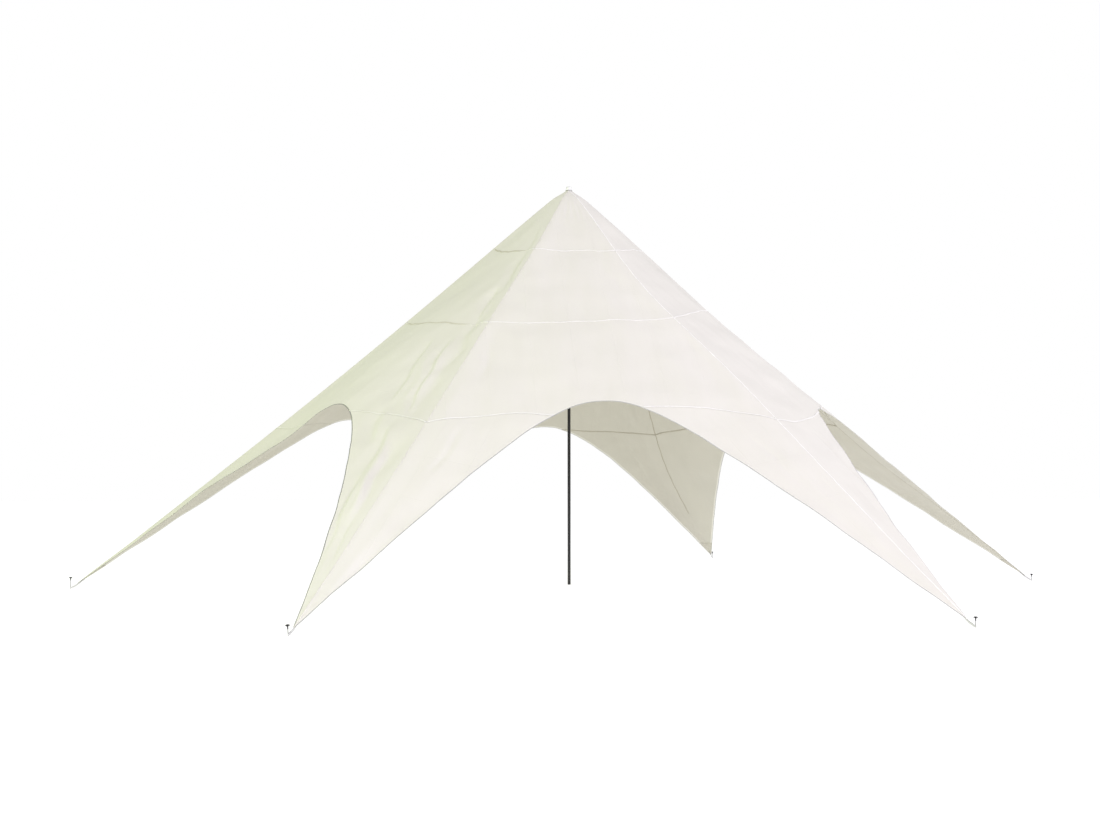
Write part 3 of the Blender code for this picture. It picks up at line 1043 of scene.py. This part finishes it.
# How far in from the hem's edge, and how far over the cloth's outer face.
TAPE_SECTION = np.array([
    (TAPE_WIDTH, 0.0004),
    (TAPE_WIDTH * 0.5, 0.0006),
    (0.0004, 0.0006),
    (-0.0010, -0.0006),
    (0.0004, -0.0018),
    (TAPE_WIDTH * 0.5, -0.0018),
    (TAPE_WIDTH, -0.0016),
])


def tape_finish():
    finish = Finish("hem_tape")
    tone = finish.mottled(5.0, rgb(0.62, 0.62, 0.60), rgb(0.56, 0.56, 0.54))
    # Painted shade: the tape is darkened towards near-black by the number each vertex carries.
    tone = finish.blend(finish.measured("shade"), tone, rgb(0.20, 0.21, 0.18))
    stitches = stitch_rows(finish, 0.003, 0.018)
    tone = finish.blend(stitches * 0.6, tone, rgb(0.72, 0.72, 0.69))
    normal = finish.bumps((finish.ribs("X", 180.0), 0.00012), (stitches, 0.0004))
    roughness = 0.7 + finish.noise(finish.place, 8.0, 3.0) * 0.15
    return finish.paint(tone, roughness, normal, {"Specular IOR Level": 0.3})


grey_tape = tape_finish()


def hem_tape(gore):
    """The binding of one hem from tip to tip, and the hem's length."""
    _, length = along_hem(gore, -HEM_TIP, HEM_TIP, 0.0)
    stations, _ = along_hem(gore, -HEM_TIP, HEM_TIP, np.linspace(0.0, 1.0, round(length / HEM_STEP)))
    insets, lifts = TAPE_SECTION.T

    def place(row, column):
        s = stations[row]
        lean = hem_lean(gore, s)
        inset = insets[column] / np.hypot(1.0, lean)
        return pitched(gore, s + inset * lean, hem_line(gore, s) - inset, lifts[column])

    size, nodes = (len(stations), len(insets)), [f"hem_binding_{gore}"]
    name, shade = f"hem_tape_{gore}", HEM_PAINTED_SHADE.get(gore, 0.1)
    tape = sewn_strip(name, size, place, grey_tape, TAPE_THICKNESS, 1.0, "hem_tape", nodes, shade=shade)
    return tape, length


hem_tapes = {gore: hem_tape(gore) for gore in ARCHES}
print("hem of gore 5", round(hem_tapes[5][1], 2), "m")

# %% [markdown]
# ## Corner patches
#
# Each arm ends at a peg that pulls with the whole tent's tension. A patch of doubled cloth is sewn
# inside the tip, with its upper edge cut straight across the arm, and the strap is sewn to it.

# %% Corner patches
PATCH_LENGTH = 0.30
PATCH_THICKNESS = 0.0008
PATCH_ROWS = 20
PATCH_COLUMNS = 13


def patch_finish():
    finish = Finish("corner_patch")
    tone = finish.mottled(4.0, rgb(0.53, 0.51, 0.435), rgb(0.50, 0.48, 0.405), 5.0)
    normal = finish.bumps((weave(finish), 0.0001), (stitch_rows(finish, 0.01), 0.0005))
    roughness = 0.65 + finish.noise(finish.place, 8.0, 3.0) * 0.15
    return finish.paint(tone, roughness, normal, {"Specular IOR Level": 0.3})


patch_cloth = patch_finish()


def corner_patch(arm):
    """A patch under the arm's tip, on both wings."""
    first, last = CORNER - PATCH_LENGTH, CORNER - 0.006

    def place(row, column):
        t = first + (last - first) * row / (PATCH_ROWS - 1)
        u = 2.0 * column / (PATCH_COLUMNS - 1) - 1.0
        gore_reach = np.where(u < 0.0, hem_reach(gore_before(arm), t, 1.0), hem_reach(arm, t, -1.0))
        wing = (half_width(t) - gore_reach) * math.cos(RIDGE_LEAN) - TAPE_WIDTH * 0.4
        return ridge_places(arm, t, u * wing, -CLOTH_THICKNESS - 0.0016)

    size = PATCH_ROWS, PATCH_COLUMNS
    return sewn_strip(f"corner_patch_{arm}", size, place, patch_cloth, PATCH_THICKNESS, -1.0)


corner_patches = {arm: corner_patch(arm) for arm in range(1, ARMS + 1)}
print("patches", len(corner_patches))

# %% [markdown]
# ## Straps
#
# A length of light grey webbing is sewn along the ridge inside the tip, runs out to the peg, passes
# round its foot and comes back. It stands on edge, two plies side by side, and narrows where it is
# squeezed round the peg. The path is worked out as in the solid model: the plies lie under the
# ridge, spread a little, and meet in a half turn round the shaft.

# %% Straps
STRAP_HEIGHT = 0.024
STRAP_PLY = 0.002
STRAP_SEWN = 0.085
STRAP_SQUEEZE = 0.25
RIDGE_FALL = RIDGE_APEX / PEG_CIRCLE
PEG_RADIUS = (peg_high.x - peg_low.x) / 2
TIP_BACK = PEG_CIRCLE * (1.0 - CORNER / SLOPE_LENGTH)


def webbing_finish():
    finish = Finish("webbing")
    tone = finish.mottled(14.0, rgb(0.62, 0.62, 0.60), rgb(0.55, 0.55, 0.53))
    thick = finish.ribs("X", 110.0) * 0.6 + finish.ribs("Y", 150.0) * 0.4
    tone = finish.blend(thick.rise(0.2, 0.8) * 0.25, rgb(0.56, 0.56, 0.54), tone)
    return finish.paint(tone, 0.72 + thick * 0.12, finish.bumps((thick, 0.0004)), {"Sheen Weight": 0.1})


grey_webbing = webbing_finish()


def arc(centre, radii, start, end, steps):
    """Corners of a round edge, from one angle in degrees to another; radii are across and up."""
    angles = np.radians(np.linspace(start, end, steps + 1))
    return [(centre[0] + radii[0] * math.cos(a), centre[1] + radii[1] * math.sin(a)) for a in angles]


def strap_route():
    """The middle of the webbing, as x from the peg, y and z: out along one ply and back."""
    side = STRAP_PLY / 2 + 0.0003
    loop = PEG_RADIUS + STRAP_PLY / 2 + 0.0004
    drop = CLOTH_THICKNESS + 0.0022 + STRAP_HEIGHT / 2
    loop_z = STRAP_HEIGHT / 2 + 0.001
    corner_z = RIDGE_FALL * TIP_BACK - drop
    out = [(x, side, -RIDGE_FALL * x - drop) for x in np.linspace(-TIP_BACK - STRAP_SEWN, -TIP_BACK, 9)]
    for share in np.arange(1, 8) / 8:
        x = -TIP_BACK + (TIP_BACK - 2.2 * loop) * share
        spread = side + (loop * 0.92 - side) * share**2
        out.append((x, spread, corner_z + (loop_z - corner_z) * share))
    bend = [(x, y, loop_z) for x, y in arc((0.0, 0.0), (loop, loop), 112, -112, 12)]
    return np.array(out + bend + [(x, -y, z) for x, y, z in reversed(out)])


def tip_strap(arm):
    """The strap of one arm, turned to where that arm points."""
    route = strap_route()
    squeeze = 1.0 - STRAP_SQUEEZE * np.exp(-((route[:, 0] / 0.03) ** 2))
    rise = np.linspace(-0.5, 0.5, 7)
    turn = 2 * HALF_GORE * (arm - 1)
    east, north = np.array([math.cos(turn), math.sin(turn)]), np.array([-math.sin(turn), math.cos(turn)])

    def place(row, column):
        x, y, z = route[row].T
        level = (PEG_CIRCLE + x)[:, None] * east + y[:, None] * north
        return np.column_stack([level, z + STRAP_HEIGHT * squeeze[row] * rise[column]])

    size, nodes = (len(route), len(rise)), [f"corner_strap_{arm}"]
    return sewn_strip(f"tip_strap_{arm}", size, place, grey_webbing, STRAP_PLY * 0.8, 0.0, "webbing", nodes)


tip_straps = {arm: tip_strap(arm) for arm in range(1, ARMS + 1)}
print("strap length", round(float(np.linalg.norm(np.diff(strap_route(), axis=0), axis=1).sum()), 3))

# %% [markdown]
# ## Pegs
#
# Each peg is a galvanised steel pin with a black moulded head like a mushroom, that a mallet can
# hit. Both are turned shapes: an outline, given as a radius and a height at each corner, is spun
# round the axis and set down at the end of an arm. No two pegs were driven in equally deep, so
# each one's height comes from the frame, and the front left one leans away from the tent.

# %% Turned shapes
def turned(name, outline, sides, material, slot, node, crisp=40, closed=False, pose=Matrix()):
    """A round piece spun from an outline; edges that turn by more than crisp degrees stay sharp."""
    shape = bmesh.new()
    ring = [shape.verts.new((radius, 0.0, height)) for radius, height in outline]
    edges = [shape.edges.new(pair) for pair in zip(ring, ring[1:])]
    if closed:
        edges.append(shape.edges.new((ring[-1], ring[0])))
    bmesh.ops.spin(
        shape,
        geom=ring + edges,
        cent=(0.0, 0.0, 0.0),
        axis=(0.0, 0.0, 1.0),
        angle=2 * math.pi,
        steps=sides,
        use_merge=True,
    )
    bmesh.ops.remove_doubles(shape, verts=shape.verts[:], dist=1e-6)
    bmesh.ops.recalc_face_normals(shape, faces=shape.faces[:])
    mesh = as_mesh(shape, name)
    mesh.transform(pose)
    piece = new_piece(name, mesh, slot, material, nodes=[node])
    mesh.set_sharp_from_angle(angle=math.radians(crisp))
    return piece


def steel_finish():
    finish = Finish("peg_steel")
    place = finish.place
    spangle = finish.add("TexVoronoi", None, {"Vector": place, "Scale": 420.0})
    dull = finish.noise(place, 60.0, 5.0).rise(0.35, 0.7)
    tone = finish.blend(dull, rgb(0.36, 0.36, 0.35), rgb(0.26, 0.26, 0.25))
    earth = (1.0 - finish.axis(place, 2).rise(0.002, 0.02)) * finish.noise(place, 240.0, 4.0).rise(0.4, 0.6)
    tone = finish.blend(earth * 0.5, tone, rgb(0.30, 0.27, 0.22))
    roughness = 0.30 + dull * 0.22 + spangle * 0.08
    normal = finish.bumps((finish.noise(place, 900.0, 3.0), 0.0001))
    return finish.paint(tone, roughness, normal, {"Metallic": 1.0 - earth * 0.8})


def plastic_finish():
    """Moulded plastic with a fine spark-eroded grain and a few scuffs."""
    finish = Finish("black_plastic")
    place = finish.place
    scuffs = finish.noise(finish.stretched(place, (160.0, 160.0, 40.0)), 1.0, 6.0, 0.7).rise(0.56, 0.74)
    tone = finish.blend(scuffs * 0.5, rgb(0.008, 0.008, 0.009), rgb(0.040, 0.040, 0.042))
    roughness = 0.45 + scuffs * 0.22 + finish.noise(place, 300.0, 2.0) * 0.08
    return finish.paint(tone, roughness, finish.bumps((finish.noise(place, 2200.0, 3.0), 0.00012)))


galvanised = steel_finish()
black_plastic = plastic_finish()
print("peg finishes ready")

# %% Pegs
PEG_LEAN = {5: math.radians(8.0)}
HEAD_RADIUS = 0.020
HEAD_DEPTH = 0.0125
DOME = 0.0078
NECK = 0.0061
SOCKET_DEPTH = 0.0155


def head_outline(bottom, top):
    """The mushroom head: socket, collared neck, concave underside, rounded rim and a low dome."""
    under = top - HEAD_DEPTH
    inside = PEG_RADIUS + 0.0002
    return [
        (0.0, top - SOCKET_DEPTH),
        (inside, top - SOCKET_DEPTH),
        (inside, bottom + 0.0005),
        (inside + 0.0005, bottom),
        (NECK - 0.0004, bottom),
        (NECK, bottom + 0.0006),
        (NECK, bottom + 0.0045),
        (NECK - 0.0007, bottom + 0.0052),
        (NECK - 0.0005, under - 0.0100),
        (NECK + 0.0003, under - 0.0060),
        (NECK + 0.0022, under - 0.0030),
        (HEAD_RADIUS * 0.58, under - 0.0008),
        (HEAD_RADIUS * 0.86, under + 0.0010),
        (HEAD_RADIUS * 0.97, under + 0.0022),
        (HEAD_RADIUS, under + 0.0040),
        *arc((0.0, top - DOME), (HEAD_RADIUS, DOME), 12, 77, 5),
        (0.0, top),
    ]


def spike_outline(top):
    return [(0.0, 0.0), (PEG_RADIUS, 0.0), (PEG_RADIUS, top - 0.001), (PEG_RADIUS - 0.001, top), (0.0, top)]


for arm in range(1, ARMS + 1):
    neck_end, head_end = (corner.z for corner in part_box(f"peg_head_{arm}"))
    lean = Matrix.Rotation(PEG_LEAN.get(arm, 0.0), 4, "Y")
    out = Matrix.Translation((PEG_CIRCLE, 0.0, 0.0))
    pose = Matrix.Rotation(2 * HALF_GORE * (arm - 1), 4, "Z") @ out @ lean
    spike = spike_outline(head_end - SOCKET_DEPTH - 0.0003)
    head = head_outline(neck_end, head_end)
    turned(f"peg_spike_{arm}", spike, 32, galvanised, "peg_steel", f"ground_peg_{arm}", pose=pose)
    turned(f"peg_cap_{arm}", head, 32, black_plastic, "black_plastic", f"peg_head_{arm}", pose=pose)
    print(f"peg {arm} stands {head_end * 1000:.0f} mm out of the ground")

# %% [markdown]
# ## Pole
#
# The pole is steel tube in two lengths, powder coated black. The upper length slides over the
# swaged end of the lower one, and its edge shows as a thin shadow line half way up. The foot is
# closed with a domed plug. Powder coat has a faint orange-peel texture, and it is rubbed where
# the tubes slide.

# %% Pole
lower_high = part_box("pole_lower")[1]
upper_low, upper_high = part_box("pole_upper")
POLE_RADIUS = lower_high.x
POLE_WALL = 0.002
POLE_TOP = upper_high.z
POLE_JOINT = upper_low.z
SPIGOT_TOP = lower_high.z


def paint_finish():
    finish = Finish("pole_paint")
    place = finish.place
    height = finish.axis(place, 2)
    scratches = finish.noise(finish.stretched(place, (90.0, 90.0, 9.0)), 1.0, 5.0).rise(0.50, 0.70)
    rubbed = (1.0 - (height - POLE_JOINT).math("ABSOLUTE").rise(0.0, 0.10)) * scratches
    dust = (1.0 - height.rise(0.0, 0.35)) * finish.noise(place, 40.0, 5.0).rise(0.35, 0.75)
    tone = finish.blend(finish.noise(place, 3.0, 3.0), rgb(0.011, 0.011, 0.012), rgb(0.017, 0.017, 0.018))
    tone = finish.blend(rubbed * 0.5, tone, rgb(0.07, 0.07, 0.072))
    tone = finish.blend(dust * 0.35, tone, rgb(0.16, 0.15, 0.13))
    roughness = 0.40 + rubbed * -0.12 + dust * 0.3 + finish.noise(place, 12.0, 3.0) * 0.08
    return finish.paint(tone, roughness, finish.bumps((finish.noise(place, 700.0, 2.0), 0.00012)))


pole_paint = paint_finish()
bore = POLE_RADIUS - POLE_WALL
spigot = bore - 0.0003
lower_outline = [
    (0.0, 0.0),
    (POLE_RADIUS * 0.70, 0.0),
    *arc((POLE_RADIUS - 0.004, 0.004), (0.004, 0.004), -90, 0, 5),
    (POLE_RADIUS, 0.018),
    (POLE_RADIUS - 0.0006, 0.0186),
    (POLE_RADIUS, 0.0192),
    (POLE_RADIUS, POLE_JOINT - 0.0080),
    (POLE_RADIUS - 0.0005, POLE_JOINT - 0.0050),
    (spigot, POLE_JOINT - 0.0006),
    (spigot, SPIGOT_TOP - 0.001),
    (spigot - 0.001, SPIGOT_TOP),
    (spigot - POLE_WALL, SPIGOT_TOP),
    (spigot - POLE_WALL, POLE_JOINT - 0.008),
    (bore, POLE_JOINT - 0.012),
    (bore, 0.012),
    (0.0, 0.012),
]
upper_outline = [
    (bore, POLE_JOINT + 0.0006),
    (bore + 0.0006, POLE_JOINT),
    (POLE_RADIUS - 0.0005, POLE_JOINT),
    (POLE_RADIUS, POLE_JOINT + 0.0006),
    (POLE_RADIUS, POLE_TOP),
    (bore, POLE_TOP),
]
turned("pole_tube_lower", lower_outline, 48, pole_paint, "pole_paint", "pole_lower", 38)
turned("pole_tube_upper", upper_outline, 48, pole_paint, "pole_paint", "pole_upper", 38, closed=True)
print("pole", round(POLE_TOP, 3), "m tall, joint at", round(POLE_JOINT, 3))

# %% [markdown]
# ## Cap
#
# A small pale cap closes the apex. Its skirt lies on the collar of the cloth, and its flat top and
# upper rim are painted grey, a painted shadow line, the little line that stands over the apex in the photo.

# %% Cap
CAP_TOP = cap_high.z
CAP_RADIUS = 0.0335
SKIRT_RADIUS = cap_high.x
SKIRT_INSIDE = 0.0295
HUB_BOTTOM = cap_low.z


def cap_finish():
    finish = Finish("cap_plastic")
    place = finish.place
    top_shadow_mask = finish.axis(place, 2).rise(CAP_TOP - 0.0052, CAP_TOP - 0.0046)
    grime = finish.noise(place, 55.0, 6.0).rise(0.45, 0.75)
    # The top and its upper rim are painted grey, a painted shadow line over the apex.
    tone = finish.blend(top_shadow_mask, rgb(0.80, 0.80, 0.785), rgb(0.42, 0.42, 0.42))
    tone = finish.blend(grime * 0.22, tone, rgb(0.50, 0.49, 0.45))
    return finish.paint(tone, 0.42 + grime * 0.2, finish.bumps((finish.noise(place, 1600.0, 2.0), 0.0001)))


def by_skirt(radius, out=0.0, up=0.0):
    """A corner measured from the slope of the skirt, which is that of the ridges."""
    return radius + out, RIDGE_APEX + 0.0048 - RIDGE_FALL * radius + up


hub = bore - 0.0003
cap_outline = [
    (0.0, HUB_BOTTOM),
    (hub - 0.001, HUB_BOTTOM),
    (hub, HUB_BOTTOM + 0.001),
    (hub, POLE_TOP + 0.0003),
    (SKIRT_INSIDE, POLE_TOP + 0.0003),
    by_skirt(SKIRT_INSIDE),
    by_skirt(SKIRT_RADIUS, -0.0010, 0.0006),
    by_skirt(SKIRT_RADIUS, 0.0, 0.0016),
    by_skirt(SKIRT_RADIUS, -0.0008, 0.0034),
    by_skirt(CAP_RADIUS, 0.0012, 0.0044),
    by_skirt(CAP_RADIUS, -0.0016, 0.0062),
    (CAP_RADIUS - 0.0016, CAP_TOP - 0.0056),
    (CAP_RADIUS, CAP_TOP - 0.0050),
    *arc((CAP_RADIUS - 0.0018, CAP_TOP - 0.0018), (0.0018, 0.0018), 0, 90, 4),
    (CAP_RADIUS * 0.5, CAP_TOP),
    (0.0, CAP_TOP),
]
turned("top_cap", cap_outline, 64, cap_finish(), "cap_plastic", "apex_cap")
print("cap", round(2 * SKIRT_RADIUS, 3), "m wide")

# %% [markdown]
# ## Floor and light
#
# The photo is a cut-out on white, lit evenly. A pale matt floor and a white surround give the same
# plain studio. A broad lamp from the front right models the gores and grazes the shaded one, so
# that its folds show. Three weaker ones fill in: one from the right, a greenish one from the left,
# and a low one in front for the arms.

# %% Studio
FLOOR_SIZE = 120.0
FLOOR_GLOW = 0.79
SKY_FILL = 0.50
WHITE = rgb(1.0, 1.0, 1.0)


def studio_floor():
    shape = bmesh.new()
    bmesh.ops.create_grid(shape, x_segments=1, y_segments=1, size=FLOOR_SIZE / 2)
    floor = in_scene("studio_floor", as_mesh(shape, "studio_floor"))
    floor.location.z = -0.0005
    finish = Finish("floor_paint")
    tone = finish.blend(finish.noise(finish.place, 0.2, 2.0), rgb(0.50, 0.50, 0.50), rgb(0.52, 0.52, 0.52))
    glow = {"Specular IOR Level": 0.0, "Emission Color": WHITE, "Emission Strength": FLOOR_GLOW}
    floor.data.materials.append(finish.paint(tone, 0.9, others=glow))


def lamp(name, place, aim, size, power, colour):
    """A square soft lamp that points at aim."""
    light = bpy.data.lights.new(name, "AREA")
    light.shape = "SQUARE"
    light.size = size
    light.energy = power
    light.color = colour
    holder = in_scene(name, light)
    holder.location = place
    holder.rotation_euler = (Vector(aim) - Vector(place)).to_track_quat("-Z", "Y").to_euler()


studio_floor()
lamp("key_lamp", (10.7, -15.3, 14.0), (0.0, 0.0, 2.3), 7.0, 1870.0, (0.93, 0.86, 1.0))
lamp("right_lamp", (20.0, -4.0, 7.0), (0.0, 0.0, 2.0), 7.0, 1130.0, (0.88, 0.91, 1.0))
lamp("side_lamp", (-20.0, -2.0, 9.0), (0.0, 0.0, 2.5), 7.0, 1120.0, (0.81, 1.0, 0.33))
lamp("low_lamp", (-7.0, -15.5, 2.0), (-3.0, -4.0, 1.5), 4.0, 680.0, (0.88, 0.88, 1.0))

# The surround looks plain white to the camera but lights the tent less.
world = bpy.data.worlds.new("studio_world")
bpy.context.scene.world = world
world.use_nodes = True
tree = world.node_tree
surround = tree.nodes["Background"]
surround.inputs["Color"].default_value = WHITE
seen = tree.nodes.new("ShaderNodeLightPath")
strength = tree.nodes.new("ShaderNodeMath")
strength.operation = "MULTIPLY_ADD"
strength.inputs[1].default_value = 1.0 - SKY_FILL
strength.inputs[2].default_value = SKY_FILL
tree.links.new(seen.outputs["Is Camera Ray"], strength.inputs[0])
tree.links.new(strength.outputs[0], surround.inputs["Strength"])

bpy.context.scene.view_settings.view_transform = "Standard"
bpy.context.scene.view_settings.look = "None"
print("studio set")

# %% [markdown]
# ## What is sewn to each sheet
#
# Each sheet of cloth printed its flat size and area when it was cut. The last lines gather, for
# each sheet, the strips, patches and straps that are sewn to it.

for gore, (panel, size, area) in cloth_tops.items():
    sewn = cross_seams[gore] + [hem_tapes[gore][0]]
for arm, (panel, size, area) in cloth_arms.items():
    sewn = ridge_seams[arm] + [corner_patches[arm], tip_straps[arm]]
